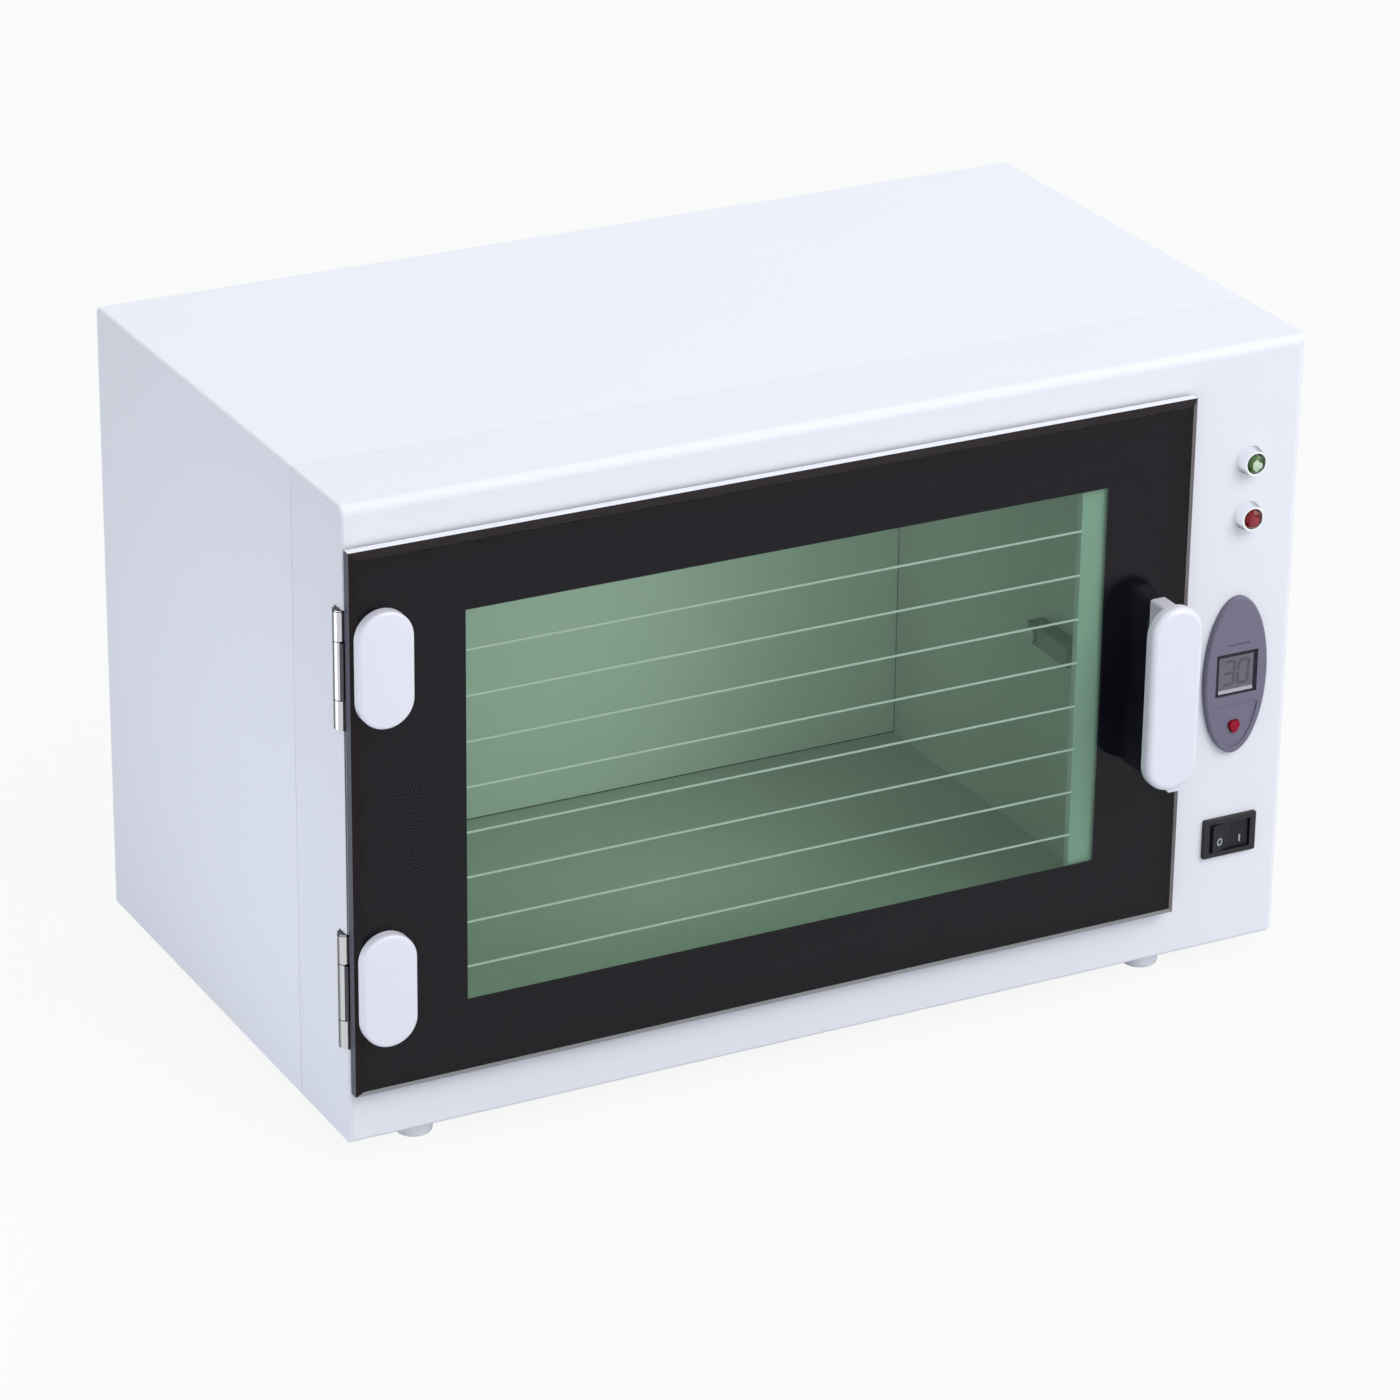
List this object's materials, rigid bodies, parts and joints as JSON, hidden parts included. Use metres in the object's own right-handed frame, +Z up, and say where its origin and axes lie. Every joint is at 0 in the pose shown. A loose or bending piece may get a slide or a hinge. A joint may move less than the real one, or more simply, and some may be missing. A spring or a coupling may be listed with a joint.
{
  "type": "ultraviolet sterilizer cabinet",
  "caption": "Small bench cabinet that sterilizes tools with an ultraviolet lamp behind a hinged, black-bordered glass door, with a timer and switch column at its right.",
  "frame": {"origin": "centre of the model's box on the surface it stands on", "axes": "+X to the right seen from the front, +Y to the back, +Z up; the door faces -Y"},
  "size_m": [0.3743, 0.245, 0.241],
  "materials": {
    "white_moulding": "smooth gloss white moulded plastic",
    "white_sheet": "gloss white powder coat on sheet steel",
    "liner_sheet": "satin white coat on sheet steel",
    "pane_glass": "pale green float glass, polished bevel",
    "black_print": "black print seen through the pane",
    "pale_print": "thin pale printed lines",
    "lilac_white": "smooth cool white moulded plastic",
    "hinge_chrome": "plated steel",
    "fastener_steel": "zinc plated steel",
    "foot_rubber": "soft white rubber",
    "black_plastic": "satin black plastic",
    "ferrite": "dark ferrite magnet",
    "collar_chrome": "bright pale collar",
    "nut_nylon": "natural nylon",
    "green_signal": "faceted green signal lens",
    "red_signal": "red signal lens",
    "timer_grey": "satin grey moulded plastic",
    "button_red": "red moulded key",
    "screen_grey": "grey liquid crystal window",
    "board_green": "printed circuit board",
    "board_black": "moulded component bodies",
    "contact_brass": "bare brass contact",
    "lamp_glass": "clear quartz tube",
    "lamp_cap": "rolled aluminium cap",
    "holder_white": "white moulded lamp holder",
    "mirror_sheet": "bright rolled sheet",
    "ballast_coat": "pale grey enamelled can",
    "terminal_nylon": "natural nylon block",
    "wire_skin": "soft wire sleeve"
  },
  "bodies": {
    "cabinet": {"front_bezel": "white_moulding", "body_cover": "white_sheet", "base_pan": "white_sheet", "rear_panel": "white_sheet", "chamber_liner": "liner_sheet", "liner_screws": "fastener_steel", "rear_screws": "fastener_steel", "base_screws": "fastener_steel", "feet": "foot_rubber", "foot_screws": "fastener_steel", "hinge_body_leaves": "hinge_chrome", "hinge_pins": "hinge_chrome", "hinge_leaf_screws": "fastener_steel", "catch_body": "black_plastic", "catch_magnet": "ferrite", "door_bumpers": "foot_rubber", "door_sensor": "black_plastic", "sensor_screw": "fastener_steel", "indicator_collars": "collar_chrome", "green_lens": "green_signal", "red_lens": "red_signal", "indicator_sockets": "black_plastic", "indicator_nuts": "nut_nylon", "timer_bezel": "timer_grey", "display_frame": "black_plastic", "display_screen": "screen_grey", "timer_board": "board_green", "board_parts": "board_black", "timer_board_screws": "fastener_steel", "switch_frame": "black_plastic", "switch_terminals": "contact_brass", "uv_tube": "lamp_glass", "tube_caps": "lamp_cap", "tube_pins": "contact_brass", "lamp_holders": "holder_white", "holder_screws": "fastener_steel", "reflector": "mirror_sheet", "ballast": "ballast_coat", "ballast_screws": "fastener_steel", "terminal_block": "terminal_nylon", "terminal_screws": "fastener_steel", "link_wires": "wire_skin", "cord_gland": "black_plastic", "gland_nut": "black_plastic"},
    "door": {"door_glass": "pane_glass", "door_border": "black_print", "window_stripes": "pale_print", "door_handle": "lilac_white", "handle_screws": "fastener_steel", "strike_plate": "fastener_steel", "hinge_door_leaves": "hinge_chrome", "hinge_clamp_plates": "hinge_chrome", "hinge_clamp_screws": "fastener_steel", "hinge_caps": "lilac_white"},
    "switch_rocker": {"power_rocker": "black_plastic"},
    "timer_key": {"timer_button": "button_red"}
  },
  "joints": [
    {"name": "door_hinge", "type": "hinge", "parent": "cabinet", "child": "door", "pos_m": [-0.18465, -0.0938, 0.12435], "axis": [0, 0, -1], "range_deg": [0, 105]},
    {"name": "rocker_tilt", "type": "hinge", "parent": "cabinet", "child": "switch_rocker", "pos_m": [0.16475, -0.0955, 0.0517], "axis": [0, 0, -1], "range_deg": [0, 14]},
    {"name": "key_press", "type": "slide", "parent": "cabinet", "child": "timer_key", "axis": [0, 1, 0], "range_m": [0, 0.0008], "stiffness_N_per_m": 800}
  ]
}
